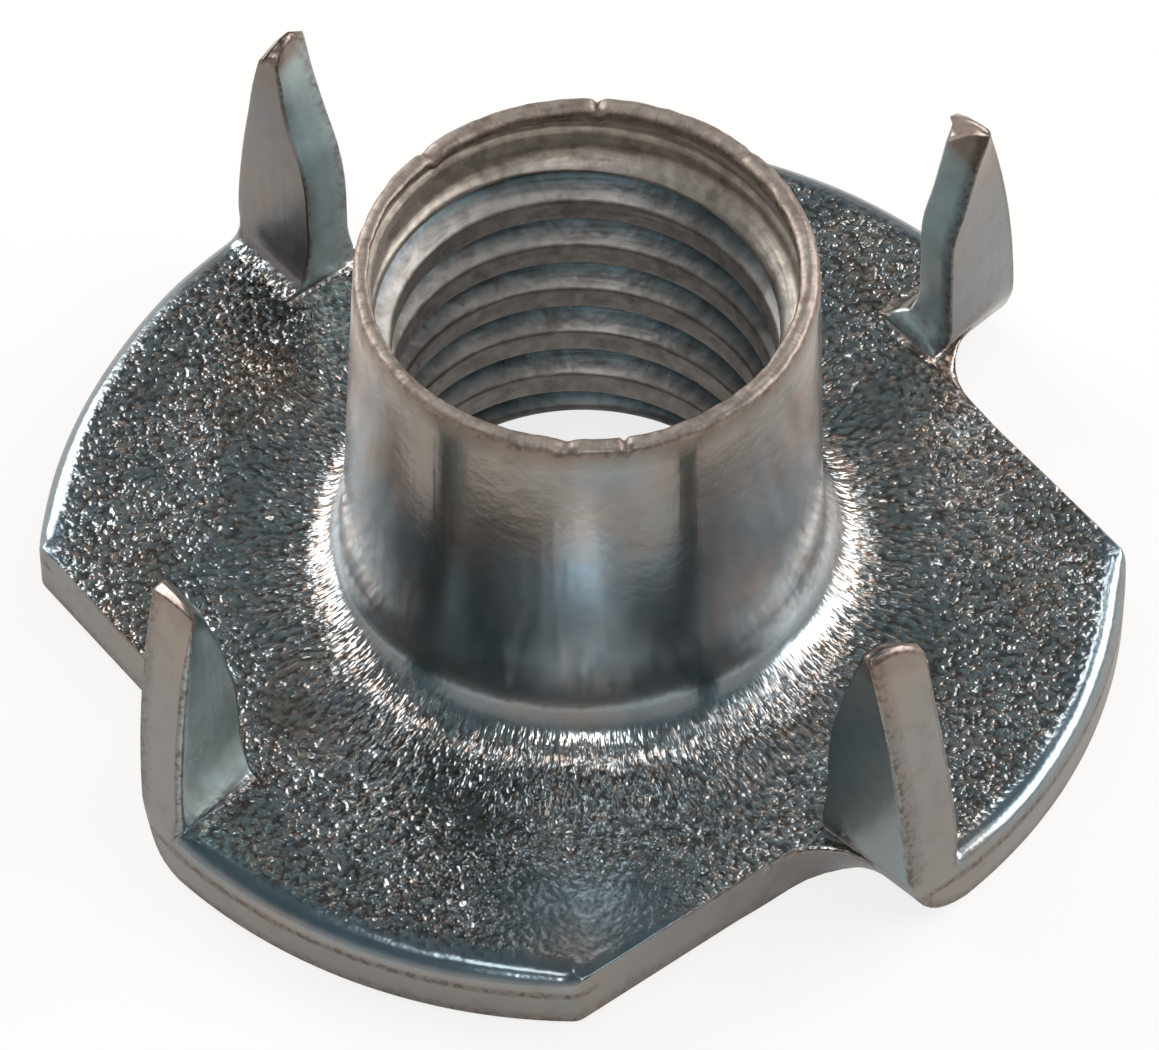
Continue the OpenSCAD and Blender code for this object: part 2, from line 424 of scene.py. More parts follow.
def stationSpots(k, angle, upShare=0.0, ledge=None, tipShare=None):
    # the chain round a prong's section: inner wall up, inside face out, outer wall down, outside face back.
    # angle is how far the fold has turned, and the shares how far up the prong and over its tip it is.
    own = prongs[k]
    spans = prongShape["spans"]
    below = angle <= level + tiny
    close = 0.0 if tipShare is None else math.pi / 2 * tipShare
    shares = acrossShares(k)

    def heightAt(h):
        base = foldZ - (foldZ - sheetT / 2) * math.cos(angle)
        tip = tipZ(k, h) - own["tipW"] / 2
        return lerp(base, tip, upShare) + own["tipW"] / 2 * math.sin(close)

    def edgesAt(h):
        z = heightAt(h) - own["tipW"] / 2 * math.sin(close)
        inner, outer = prongWidth(k, z)
        inner += own["tipSkew"] * (1 - h / sheetT) * smoothStep(*spans["skew"], z)
        outer = max(outer, inner + own["tipW"])
        middle, half = (inner + outer) / 2, (outer - inner) / 2 * math.cos(close)
        return middle - half, middle + half

    def spot(x, h, inner, outer):
        # the sheet's point after the fold has turned it and the prong has been thinned and twisted
        z = heightAt(h)
        across = min(max((x - inner) / max(outer - inner, tiny), 0.0), 1.0) if outer > inner else 0.5
        thin = 1 - prongShape["innerThin"] * (1 - across) * smoothStep(*spans["thin"], z)
        h = sheetT / 2 + (h - sheetT / 2) * thin
        radius = foldZ - h
        twist = lerp(own["turnIn"] * smoothStep(level, math.pi / 2, angle),
                     lerp(own["turnLow"], own["turnHigh"], upShare) * smoothStep(0, level, angle), across)
        y = foldY - radius * math.sin(angle) + twist
        return Vector((x, y, foldZ - radius * math.cos(angle) if upShare == 0 else z))

    low, high = 0.0, sheetT
    if tipShare is not None:
        low = prongShape["tipThin"] * (1 - math.cos(close))
        high = sheetT - low
    width = edgesAt(sheetT / 2)[1] - edgesAt(sheetT / 2)[0]
    middleZ = heightAt(sheetT / 2)
    rounding = min(prongShape["edgeR"], prongShape["edgeShare"] * width)
    rimRoll = lerp(flange["rollR"], prongShape["rimRollR"], smoothStep(*spans["roll"], middleZ))
    wide = smoothStep(*prongShape["rollWidths"], width) if tipShare is None else 0.0
    rimRoll = lerp(rounding, rimRoll, wide)
    wallLow = foldZ - prongShape["foldR"] / math.cos(angle) if below else low
    innerRoll = min(rounding, prongShape["wallShare"] * (high - wallLow))
    innerBurr = 0.0 if below else rounding
    outerBurr = min(flange["burrR"], rounding)
    spots = []
    for inset, h in reversed(edgeRows(high, wallLow, innerRoll, innerBurr)):
        inner, outer = edgesAt(h)
        spots.append(spot(inner + inset, h, inner, outer))
    inner, outer = edgesAt(high)
    for share in shares[1:]:
        spots.append(spot(lerp(inner + innerRoll, outer - rimRoll, share), high, inner, outer))
    for inset, h in edgeRows(high, low, rimRoll, outerBurr)[1:]:
        inner, outer = edgesAt(h)
        spots.append(spot(outer - inset, h, inner, outer))
    inner, outer = edgesAt(low)
    for share in reversed(shares[:-1]):
        x = lerp(inner + innerBurr, outer - outerBurr, share)
        webR = own["webR"]
        fall = webR - math.sqrt(max(webR ** 2 - max(webR - (x - inner), 0.0) ** 2, 0.0))
        if below:
            y, z = webLine(angle / level, fall)
            twist = own["turnLow"] * share * smoothStep(0, level, angle)
            if ledge is not None:
                y = lerp(y, webLine(1.0, 0.0)[0], ledge)
            spots.append(Vector((x, y + twist, z)))
        else:
            spots.append(spot(x, low, inner, outer))
    return spots


def segmentSpots(k, m, start):
    # the same chain along the strip of flange behind the fold, which narrows to nothing at the rim
    s = m / steps["segment"]
    rolls = steps["roll"] + steps["wall"] + steps["burr"]
    across = steps["across"]
    shares = acrossShares(k)
    angle = lerp(math.asin(foldY / flangeR), tipTurn(k), s)
    topTip = raised(flat(flangeR - flange["rollR"], tipTurn(k)), sheetT)
    lowTip = flat(flangeR - flange["burrR"], tipTurn(k))
    rows = edgeRows(sheetT, 0.0, flange["rollR"], flange["burrR"])
    rim = [raised(flat(flangeR - inset, angle), z) for inset, z in rows]

    def patch(line, inner, outer):
        first = [line[0].lerp(line[-1], share) for share in shares]
        return [inner.lerp(outer, share) + (here - straight) * (1 - s)
                for share, here, straight in zip(shares, line, first)]

    topStart = start[rolls:rolls + across + 1]
    lowStart = start[:-across - 2:-1]
    top = patch(topStart, topStart[0].lerp(topTip, s), rim[0])
    low = patch(lowStart, lowStart[0].lerp(lowTip, s), rim[-1])
    return [top[0]] * rolls + top + rim[1:] + low[-2::-1]


def addProng(bm, k):
    def place(spots):
        return [turned(spot, k) for spot in spots]

    start = stationSpots(k, 0.0)
    first = chainOf(bm, place(start))
    chain = first
    for m in range(1, steps["segment"] + 1):
        chain = grow(bm, chain, place(segmentSpots(k, m, start)))
    chain = first
    foldLine = [first[-1]]
    for i in range(1, steps["fold"] + 1):
        chain = grow(bm, chain, place(stationSpots(k, level * i / steps["fold"])))
        foldLine.append(chain[-1])
    for i in range(1, steps["web"] + 1):
        chain = grow(bm, chain, place(stationSpots(k, level, ledge=i / steps["web"])))
    for angle in (lerp(level, math.pi / 2, 0.5), math.pi / 2):
        chain = grow(bm, chain, place(stationSpots(k, angle)))
    for i in range(1, steps["upright"] + 1):
        chain = grow(bm, chain, place(stationSpots(k, math.pi / 2, i / steps["upright"])))
    for i in range(1, steps["tip"] + 1):
        chain = grow(bm, chain, place(stationSpots(k, math.pi / 2, 1.0, tipShare=i / steps["tip"])))
    # the sheared wall that is left between the notch's root and the underside
    edge = foldLine
    spots = [turned(vert.co.copy(), -k) for vert in foldLine]
    columnsOfRows = [edgeRows(spot.z, 0.0, 0.0, 0.0) for spot in spots]
    for row in range(1, len(columnsOfRows[0])):
        places = [turned(raised(spot, rows[row][1]), k) for spot, rows in zip(spots, columnsOfRows)]
        edge = grow(bm, edge, places)


def turnFrom(point, degrees):
    # angle between a point's direction and one given in degrees, in degrees
    return abs((math.degrees(math.atan2(point.y, point.x)) - degrees + 180) % 360 - 180)


# What pressing did to the ideal shape.
pressing = {
    "barrelReach": 5.6,        # the barrel and its foot lie within this radius, and the flat flange ...
    "flangeReach": 5.0,        # ... beyond this one ...
    "flangeHigh": 0.1,         # ... and no higher than this above the sheet
    "lean": (0.037, -0.116),   # how far the rim's centre stands off the bore's axis
    "leanRise": 1.2,           # height over which the lean sets in, above the sheet
    "rimRough": 0.022,         # how far the rim's torn edge wanders ...
    "tornDepths": (0.55, 0.1),     # ... which starts and is full at these depths below the rim
    "tears": (2.3, 6.1, 3.7),      # per mm: long and short tears upwards, and tears sideways
    "shortShare": 0.6,         # height of the short tears, as a share of the long ones'
    # nicks in the rim: direction and width in degrees, and depth
    "nicks": [(49.5, 1.6, 0.13), (98, 2.4, 0.12), (6.5, 2.5, 0.05),
              (227, 2.6, 0.06), (242.5, 0.9, 0.16), (150, 2, 0.04)],
    "wave": 0.02,              # how far the sheet is from flat ...
    "waves": 0.9,              # ... with this many waves per mm ...
    "waveReach": (5.4, 6.5),   # ... which set in between these radii ...
    "waveZ": (0.4, 1.1),       # ... and these heights
    # where the rim is a little inside its circle: direction and half width in degrees, depth, radii
    "pinch": {"turn": 118, "width": 27, "depth": 0.08, "reach": (7, 10)},
}


def pressed(point):
    x, y, z = point
    reach = point.xy.length
    outwards = math.atan2(y, x)
    moved = point.copy()
    if reach < pressing["barrelReach"]:
        share = smoothStep(sheetT, sheetT + pressing["leanRise"], z) * (z - sheetT) / (barrelH - sheetT)
        moved.x += pressing["lean"][0] * share
        moved.y += pressing["lean"][1] * share
        start, full = pressing["tornDepths"]
        torn = smoothStep(barrelH - start, barrelH - full, z)
        long, short, across = pressing["tears"]
        rough = noise.noise(point * long) + pressing["shortShare"] * noise.noise(point * short)
        moved.z += torn * (pressing["rimRough"] * rough - 0.5 * pressing["rimRough"])
        sideways = noise.noise(point * across + Vector((9, 4, 2)))     # another place in the noise
        moved += flat(torn * pressing["rimRough"] * sideways, outwards)
        for turn, width, depth in pressing["nicks"]:
            moved.z -= torn * depth * max(1 - turnFrom(point, turn) / width, 0.0)
    if reach > pressing["flangeReach"] and z < sheetT + pressing["flangeHigh"]:
        pinch = pressing["pinch"]
        near = smoothStep(pinch["width"], 0, turnFrom(point, pinch["turn"]))
        moved += flat(-pinch["depth"] * near * smoothStep(*pinch["reach"], reach), outwards)
        wavy = smoothStep(*pressing["waveReach"], reach) * smoothStep(*pressing["waveZ"], z)
        moved.z += pressing["wave"] * wavy * noise.noise(point * pressing["waves"])
    return moved


def buildNut():
    bm = bmesh.new()
    # thread: its profile, with a vertex for each station of a pitch, is spun up the helix
    pitch = thread["pitch"]
    start = crestLine(cornerStart)
    turnsBelow = math.ceil((start - thread["lowZ"]) / pitch) + 1
    turnsAbove = math.ceil((lipZ - start) / pitch) + 1
    nearEnd = tolerances["ends"]
    heights = [start + pitch * (turn + u) for turn in range(-turnsBelow, turnsAbove)
               for u in thread["stations"]]
    profile = chainOf(bm, [raised(flat(crestR, cornerStart), z) for z in heights])
    edges = [bm.edges.get(pair) for pair in zip(profile, profile[1:])]
    bmesh.ops.spin(bm, geom=profile + edges, cent=(0, 0, 0), axis=(0, 0, 1), dvec=(0, 0, pitch / columns),
                   angle=2 * math.pi, space=Matrix.Identity(4), steps=columns, use_merge=False,
                   use_normal_flip=False, use_duplicate=False)
    # what reaches past the bore's two ends is drawn back to them, and merges there
    for vert in bm.verts:
        turn = columnTurn(columnAt(math.atan2(vert.co.y, vert.co.x)))
        z = min(max(vert.co.z, thread["lowZ"]), lipZ)
        z = next((end for end in (thread["lowZ"], lipZ) if abs(z - end) < nearEnd), z)
        vert.co = raised(flat(boreR(turn, z), turn), z)
    bmesh.ops.remove_doubles(bm, verts=bm.verts, dist=tolerances["thread"])

    def ringAt(z):
        ring = [vert for vert in bm.verts if abs(vert.co.z - z) < nearEnd]
        return sorted(ring, key=lambda vert: columnAt(math.atan2(vert.co.y, vert.co.x)))

    topRing, lowRing = ringAt(lipZ), ringAt(thread["lowZ"])
    print("thread", len(bm.verts), len(topRing), len(lowRing))

    # lip, tapered outside and the fillet at the foot
    chain = topRing
    lipMid = topR - lipR
    inner = [vert.co.xy.length for vert in topRing]
    for i in range(1, steps["lip"] + 1):
        angle = math.pi * i / steps["lip"]
        t = i / steps["lip"]
        across = math.copysign(abs(math.cos(angle)) ** barrel["lipSquare"], math.cos(angle))
        rise = math.sin(angle) ** barrel["lipSquare"]
        radii = [lipMid - lipR * across + (inner[c] - lipMid + lipR) * (1 - t) ** 3 for c in range(columns)]
        spots = [raised(flat(radius, columnTurn(c)), lipZ + lipR * rise) for c, radius in enumerate(radii)]
        chain = grow(bm, chain, spots, True)
    turns = [columnTurn(c) - math.radians(barrel["footTurn"]) for c in range(columns)]
    footR = [barrel["footR"] + barrel["footSwing"] * math.cos(turn) for turn in turns]

    def footSpot(c, angle):
        r = footR[c]
        x = baseR + r / math.cos(taper) - r * math.tan(taper)
        return raised(flat(x - r * math.cos(angle), columnTurn(c)), sheetT + r - r * math.sin(angle))

    def growTo(chain, ends, rows):
        # straight from a closed chain to new places, in even rows
        starts = [vert.co.copy() for vert in chain]
        for i in range(1, rows + 1):
            chain = grow(bm, chain, [a.lerp(b, i / rows) for a, b in zip(starts, ends)], True)
        return chain

    chain = growTo(chain, [footSpot(c, taper) for c in range(columns)], steps["barrel"])
    for i in range(1, steps["foot"] + 1):
        angle = lerp(taper, math.pi / 2, i / steps["foot"])
        chain = grow(bm, chain, [footSpot(c, angle) for c in range(columns)], True)
    topOutline = growTo(chain, [outlineSpot(c, False) for c in range(columns)], steps["flange"])

    # drawn mouth and the underside
    chain = lowRing
    mouthR = barrel["mouthR"]
    startAngle = math.asin((mouthR - thread["lowZ"]) / mouthR)
    for i in range(1, steps["mouth"] + 1):
        angle = lerp(startAngle, math.pi / 2, i / steps["mouth"])
        radius = crestR + mouthR - mouthR * math.cos(angle)
        z = mouthR - mouthR * math.sin(angle)
        chain = grow(bm, chain, [raised(flat(radius, columnTurn(c)), z) for c in range(columns)], True)
    growTo(chain, [outlineSpot(c, True) for c in range(columns)], steps["flange"])

    # rolled rim and sheared notches, from one prong's strip to the next prong's root
    for k in range(4):
        span = [(quarter * k + marks["rim"] + i) % columns
                for i in range(steps["rim"] + steps["corner"] + steps["cut"] + 1)]
        walls = [wallSpots(c) for c in span]
        edge = [topOutline[c] for c in span]
        for row in range(1, len(walls[0])):
            edge = grow(bm, edge, [wall[row] for wall in walls])
    print("flange", len(bm.verts))

    for k in range(4):
        addProng(bm, k)
    bmesh.ops.remove_doubles(bm, verts=bm.verts, dist=tolerances["seams"])
    for vert in bm.verts:
        vert.co = pressed(vert.co)
    bmesh.ops.dissolve_degenerate(bm, dist=tolerances["sliver"], edges=bm.edges)
    bmesh.ops.recalc_face_normals(bm, faces=bm.faces)
    print("nut", len(bm.verts), len(bm.faces), round(bm.calc_volume(), 1))
    return bm


# Where each finish lies.
finishPlaces = {
    "outside": 7.0,            # prongs and notches lie beyond this radius
    "prongBox": (7.4, 1.8),    # a standing prong lies beyond this x, and within this y of its radial line
    "foldBox": (0.3, -0.2),    # a fold's outside lies from here inside the cut's line, and beyond this y
    # how squarely a face has to look one way to be sheared, to carry a film, or to be a fold's outside
    "lean": {"sheared": (0.5, 0.75), "face": (0.5, 0.9), "fold": (0.5, 0.8)},
    "edgeAngle": (0.16, 0.34),     # radians between the faces at an edge
    "filmLow": 0.1,            # a prong stands free, and may carry a film, from here above the sheet
    "leastSheared": 0.4,       # a standing prong is at least this much like a sheared face
    "innerTint": 0.9,          # teal on a prong's inner edge
    "tipTint": -0.2,           # brown at its tip ...
    "tipBand": (-0.3, 0.1),    # ... between these heights over the lowest point of the tip
    # the grain fades with the size of the normal's z, with the height over the sheet, and at the rolled rim
    "grain": {"lean": (0.5, 0.84), "foot": (0.05, 0.6), "prong": (0.05, 0.3), "out": (9.72, 9.4)},
    # patch that the press has burnished: direction and half width in degrees, share, and its limits
    "rubbed": {"turn": -126.5, "width": 17, "share": 0.85, "z": (0.4, 0.8), "from": (7.0, 8.2),
               "to": (10.0, 9.6)},
    # the flange's edges are worn clean near the rim, from here up to so far above the sheet
    "cleanEdge": {"z": 0.86, "above": 0.05, "out": (9.4, 8.6)},
    # depths below the rim, and what the torn lip has there
    "lip": {"depth": 0.3, "grainDepths": (0.25, 0.1), "edgeDepths": (0.12, 0.03),
            "grain": 0.15, "edge": 0.45, "tint": -0.18},
    "boreOut": 0.1,            # the bore's edges lie no further than this outside the thread's roots ...
    "boreEdge": 0.15,          # ... and keep this share of the oxide
}


def nearRim(depths, z):
    # rises between two depths below the barrel's rim
    return smoothStep(barrelH - depths[0], barrelH - depths[1], z)


def prongFinish(k, co, facing):
    # how much like a sheared face a spot on a prong or a notch's wall is, and its film, partly the
    # passivate's own tint and partly painted light and shade
    lean = finishPlaces["lean"]
    sheared = smoothStep(*lean["sheared"], abs(facing.x) if co.z > sheetT else 1 - abs(facing.z))
    if co.z <= sheetT + finishPlaces["filmLow"]:
        return sheared, 0.0
    outside, inside = prongs[k]["filmsAndShading"]
    tint = outside * smoothStep(*lean["face"], -facing.y) + inside * smoothStep(*lean["face"], facing.y)
    tint += finishPlaces["innerTint"] * smoothStep(*lean["face"], -facing.x)
    overTip = smoothStep(*finishPlaces["tipBand"], co.z - min(prongs[k]["tips"]))
    return max(sheared, finishPlaces["leastSheared"]), lerp(tint, finishPlaces["tipTint"], overTip)


def grainAt(co, normal):
    # share of the rolled sheet's grain that is left on the flange and the barrel's foot
    grain, rubbed = finishPlaces["grain"], finishPlaces["rubbed"]
    reach = co.xy.length
    low, high = grain["foot" if reach < finishPlaces["outside"] else "prong"]
    share = smoothStep(*grain["lean"], abs(normal.z)) * (1 - smoothStep(low, high, co.z - sheetT))
    worn = rubbed["share"] * smoothStep(rubbed["width"], rubbed["width"] / 3, turnFrom(co, rubbed["turn"]))
    worn *= smoothStep(*rubbed["z"], co.z)
    share *= 1 - worn * smoothStep(*rubbed["from"], reach) * smoothStep(*rubbed["to"], reach)
    return share * smoothStep(*grain["out"], reach)


def finishAt(co, normal, angle):
    # red where it is sheared, green on the flange's grained face, blue along an edge, and alpha for a film
    # that is teal above a half and brown below it, partly the passivate's own tint and partly painted light
    # and shade
    places = finishPlaces
    k = round(math.atan2(co.y, co.x) / (math.pi / 2)) % 4
    local, facing = turned(co, -k), turned(normal, -k)
    reach = co.xy.length
    sheared = grain = tint = 0.0
    if reach > places["outside"]:
        x, y = places["prongBox"]
        if co.z < sheetT or abs(local.y) < y and local.x > x:
            sheared, tint = prongFinish(k, co, facing)
        inside, y = places["foldBox"]
        if co.z < sheetT and local.x > prongShape["cutX"] - inside and local.y < y:
            sheared *= 1 - smoothStep(*places["lean"]["fold"], abs(facing.y))
    edge = smoothStep(*places["edgeAngle"], angle)
    lip, clean = places["lip"], places["cleanEdge"]
    if reach > baseR:
        grain = grainAt(co, normal)
        if clean["z"] < co.z < sheetT + clean["above"]:
            edge *= smoothStep(*clean["out"], reach)
    elif co.z > barrelH - lip["depth"]:
        sheared, grain, tint = 1.0, lip["grain"] * nearRim(lip["grainDepths"], co.z), lip["tint"]
        edge *= lerp(1.0, lip["edge"], nearRim(lip["edgeDepths"], co.z))
    elif reach < thread["rootR"] + places["boreOut"]:
        edge *= places["boreEdge"]
    return sheared, grain, edge, 0.5 + tint / 2


def finishPiece(bm, name, material):
    edgeAngles = [max(abs(edge.calc_face_angle(0.0)) for edge in vert.link_edges) for vert in bm.verts]
    bmesh.ops.scale(bm, vec=(0.001, 0.001, 0.001), verts=bm.verts)
    mesh = bpy.data.meshes.new(name)
    bm.to_mesh(mesh)
    bm.free()
    piece = bpy.data.objects.new(name, mesh)
    bpy.context.scene.collection.objects.link(piece)
    mesh.materials.append(material)
    for polygon in mesh.polygons:
        polygon.use_smooth = True
    finish = mesh.color_attributes.new("finish", "FLOAT_COLOR", "POINT")
    for vert, angle in zip(mesh.vertices, edgeAngles):
        finish.data[vert.index].color = finishAt(vert.co * 1000, vert.normal, angle)
    return piece


# Finish.
def linear(code):
    # sRGB hex colour to linear
    parts = [int(code[i:i + 2], 16) / 255 for i in (1, 3, 5)]
    return tuple(c / 12.92 if c <= 0.04045 else ((c + 0.055) / 1.055) ** 2.4 for c in parts) + (1.0,)


def addNode(tree, kind, settings=None, inputs=None):
    # a node with its settings, its input values, and the sockets or nodes that feed it
    node = tree.nodes.new("ShaderNode" + kind)
    for name, value in (settings or {}).items():
        setattr(node, name, value)
    for key, value in (inputs or {}).items():
        if isinstance(value, bpy.types.Node):
            value = next(output for output in value.outputs if output.enabled)
        if isinstance(value, bpy.types.NodeSocket):
            tree.links.new(value, node.inputs[key])
        else:
            node.inputs[key].default_value = value
    return node


zincLook = {
    "cool": "#859299", "warm": "#958e88",           # passivate
    "litCrest": "#a59f9a", "shadedGroove": "#62737a", "lead": "#c6bcb2",     # thread's crests in painted light, its grooves in painted shade, and its lead-in painted pale as if lit
    "pale": "#938a82", "teal": "#a9bcbe", "brown": "#4a3024",       # sheared face, films that carry partly painted light and shade, and oxide
    "blueGlint": "#93a3ad", "goldGlint": "#b09c88",                 # crystals
    "pitShade": (0.63, 0.46, 0.38, 1.0), "crownHighlight": (1.62, 1.34, 1.2, 1.0),    # painted shade between them and painted highlight on them
    # noises: millimetres from one bump or blot to the next, and how much finer detail they carry
    "noises": {
        "grain": (0.13, 1),    # crystals of the deposit, drawn coarser than the real few hundredths
        "patch": (1.4, 1),     # patches where the grain is stronger or fainter
        "draw": (0.16, 1),     # marks that drawing left down the metal
        "tap": (0.14, 1),      # the tap's tool marks
        "wave": (0.3, 2),      # waves in the pressed sheet
        "cloud": (2.5, 3),     # clouds in the passivate's tint
        "stain": (0.5, 5),     # stains of oxide
        "speck": (0.12, 3),    # specks of oxide
    },
    # masks: the two ends of the stretch over which each turns, and its value at either end
    "masks": {
        "bore": (4.15, 4.05, 0, 1),        # mm from the axis
        "lead": (7.2, 7.7, 0, 1),          # mm up, where the lead-in is painted pale as if lit
        "shadedGroove": (3.5, 3.85, 0, 1),       # mm from the axis, from the crests' painted light to the grooves' painted shade
        "high": (4.5, 7.2, 0, 0.3),        # mm up: a painted reflection of the warm floor makes the barrel warmer towards its rim
        "lineLow": (0.66, 0.76, 0, 1),     # mm up: oxide line under the rolled rim ...
        "lineHigh": (0.92, 0.8, 0, 1),
        "lineOut": (9.7, 9.85, 0, 1),      # ... and mm from the axis
        "stretch": (7.8, 6.3, 0, 1),       # mm from the axis: drawing pulled the crystals outwards
        # the rest are levels of a noise
        "patches": (-0.2, 0.7, 0, 1), "warmth": (0.48, 0.85, 0, 1), "crownHighlights": (0.3, 0.62, 0, 1),
        "mottle": (0.35, 0.65, 0.84, 1.1), "stains": (0.5, 0.68, 0, 1), "specks": (0.44, 0.64, 0.3, 0.7),
    },
    "grainRise": 0.045,        # mm, height of the grain
    "grainTilt": 0.24,         # lean of the crystals ...
    "steep": (3.0, 1.6, 0.35),     # ... times a random share to this power, times this, plus this
    "pull": (0.6, 7.0),        # drawn crystals' noise per mm outwards and per radian round: longer than wide
    "waveRise": 0.006,         # mm, height of the waves in the pressed sheet ...
    "torn": 0.016,             # ... and what the tap adds to it in the bore
    "drawRise": 0.004,         # mm, height of the marks of drawing ...
    "drawLong": 0.05,          # ... and share of the noise's pace down the barrel, which makes them long
    "tapRise": 0.01,           # mm, height of the tap's marks ...
    "tapLong": 0.35,           # ... and the noise's pace per radian round the bore
    "paleShare": 0.6,
    "glintShare": 0.35,
    "stainShares": (0.12, 0.22),       # everywhere, and what the bore adds to it
    # roughness of the plate, and what worked metal, the patches and the bore add to it
    "rough": 0.16, "roughWorked": 0.2, "roughPatch": 0.1, "roughBore": 0.1,
}


def zincPlatedSteel(look):
    # Mild steel, pressed and then electroplated with zinc under a clear blue passivate: a bluish grey metal
    # that glitters where the rolled sheet is rough, is smoother where drawn, and browns on sheared edges.
    material = bpy.data.materials.new("zincPlatedSteel")
    material.use_nodes = True
    tree = material.node_tree
    shader = tree.nodes["Principled BSDF"]
    shader.inputs["Metallic"].default_value = 1.0
    plus, minus, times = {"operation": "ADD"}, {"operation": "SUBTRACT"}, {"operation": "MULTIPLY"}
    fused, scaled = {"operation": "MULTIPLY_ADD"}, {"operation": "SCALE"}
    larger, clamped = {"operation": "MAXIMUM"}, {"operation": "MULTIPLY", "use_clamp": True}
    soft, mixed = {"interpolation_type": "SMOOTHSTEP"}, {"data_type": "RGBA"}
    darkened = {"data_type": "RGBA", "blend_type": "MULTIPLY"}
    noises = {name: {"Scale": 1 / size, "Detail": detail} for name, (size, detail) in look["noises"].items()}
    ends = ("From Min", "From Max", "To Min", "To Max")
    masks = {name: dict(zip(ends, values)) for name, values in look["masks"].items()}
    colours = {name: linear(value) for name, value in look.items() if isinstance(value, str)}

    # places: millimetres, reach from the axis, direction round it, and the finish marked on the mesh
    spot = addNode(tree, "TexCoord").outputs["Object"]
    mm = addNode(tree, "VectorMath", scaled, {0: spot, "Scale": 1000})
    across, along, up = addNode(tree, "SeparateXYZ", {}, {0: mm}).outputs
    around = addNode(tree, "Math", {"operation": "ARCTAN2"}, {0: along, 1: across})
    flatSpot = addNode(tree, "CombineXYZ", {}, {0: across, 1: along})
    reach = addNode(tree, "VectorMath", {"operation": "LENGTH"}, {0: flatSpot}).outputs["Value"]
    finish = addNode(tree, "VertexColor", {"layer_name": "finish"}).outputs
    sheared, grain, edge = addNode(tree, "SeparateColor", {}, {0: finish["Color"]}).outputs[:3]
    # film tint, partly the passivate's own and partly painted light and shade face by face
    filmAndShading = addNode(tree, "Math", fused, {0: finish["Alpha"], 1: 2.0, 2: -1.0})
    inBore = addNode(tree, "MapRange", soft, {"Value": reach, **masks["bore"]})
    litLeadInShare = addNode(tree, "MapRange", soft, {"Value": up, **masks["lead"]})
    worked = addNode(tree, "Math", larger, {0: sheared, 1: inBore})

    # rolled face: crystals that each tilt their own way, and few of them far enough to catch a light
    patches = addNode(tree, "TexNoise", {}, {"Vector": mm, **noises["patch"]})
    cells = addNode(tree, "TexVoronoi", {}, {"Vector": mm, "Scale": noises["grain"]["Scale"]})
    crystals = cells.outputs["Color"]
    glint = addNode(tree, "SeparateColor", {}, {0: crystals}).outputs
    power, share, least = look["steep"]
    steep = addNode(tree, "Math", {"operation": "POWER"}, {0: glint[2], 1: power})
    steep = addNode(tree, "Math", fused, {0: steep, 1: share, 2: least})
    grainHere = addNode(tree, "MapRange", soft, {"Value": patches, **masks["patches"]})
    grainHere = addNode(tree, "Math", times, {0: grain, 1: grainHere})
    tiltShare = addNode(tree, "Math", times, {0: grainHere, 1: look["grainTilt"]})
    tiltShare = addNode(tree, "Math", times, {0: tiltShare, 1: steep})
    tilt = addNode(tree, "VectorMath", minus, {0: crystals, 1: (0.5, 0.5, 0.5)})
    tilt = addNode(tree, "VectorMath", scaled, {0: tilt, "Scale": tiltShare})

    # wrinkles between them, stretched outwards near the foot, where the drawing pulled them
    outwards = addNode(tree, "Math", times, {0: reach, 1: look["pull"][0]})
    sideways = addNode(tree, "Math", times, {0: around, 1: look["pull"][1]})
    pulled = addNode(tree, "CombineXYZ", {}, {0: outwards, 1: sideways})
    loose = addNode(tree, "TexNoise", {}, {"Vector": mm, **noises["grain"]})
    drawnOut = addNode(tree, "TexNoise", {}, {"Vector": pulled, **noises["grain"]})
    ragged = addNode(tree, "Math", plus, {0: reach, 1: patches})
    stretch = addNode(tree, "MapRange", soft, {"Value": ragged, **masks["stretch"]})
    wrinkles = addNode(tree, "Mix", {}, {0: stretch, 2: loose, 3: drawnOut})
    grainRise = addNode(tree, "Math", times, {0: grainHere, 1: look["grainRise"]})
    grainHeight = addNode(tree, "Math", times, {0: wrinkles, 1: grainRise})

    # drawn faces: faint marks down their length, and tool marks round the bore
    low = addNode(tree, "Math", times, {0: up, 1: look["drawLong"]})
    down = addNode(tree, "CombineXYZ", {}, {0: across, 1: along, 2: low})
    drawMarks = addNode(tree, "TexNoise", {}, {"Vector": down, **noises["draw"]})
    drawRise = addNode(tree, "Math", fused, {0: grain, 1: -look["drawRise"], 2: look["drawRise"]})
    drawHeight = addNode(tree, "Math", times, {0: drawMarks, 1: drawRise})
    short = addNode(tree, "Math", times, {0: around, 1: look["tapLong"]})
    roundBore = addNode(tree, "CombineXYZ", {}, {0: short, 1: up, 2: reach})
    tapMarks = addNode(tree, "TexNoise", {}, {"Vector": roundBore, **noises["tap"]})
    tapRise = addNode(tree, "Math", times, {0: inBore, 1: look["tapRise"]})
    tapHeight = addNode(tree, "Math", times, {0: tapMarks, 1: tapRise})
    waves = addNode(tree, "TexNoise", {}, {"Vector": mm, **noises["wave"]})
    waveRise = addNode(tree, "Math", fused, {0: inBore, 1: look["torn"], 2: look["waveRise"]})
    waveHeight = addNode(tree, "Math", times, {0: waves, 1: waveRise})

    height = grainHeight
    for other in (drawHeight, tapHeight, waveHeight):
        height = addNode(tree, "Math", plus, {0: height, 1: other})
    bump = addNode(tree, "Bump", {}, {"Strength": 1.0, "Distance": 0.001, "Height": height})
    normal = addNode(tree, "VectorMath", plus, {0: bump, 1: tilt})
    normal = addNode(tree, "VectorMath", {"operation": "NORMALIZE"}, {0: normal})
    tree.links.new(normal.outputs[0], shader.inputs["Normal"])
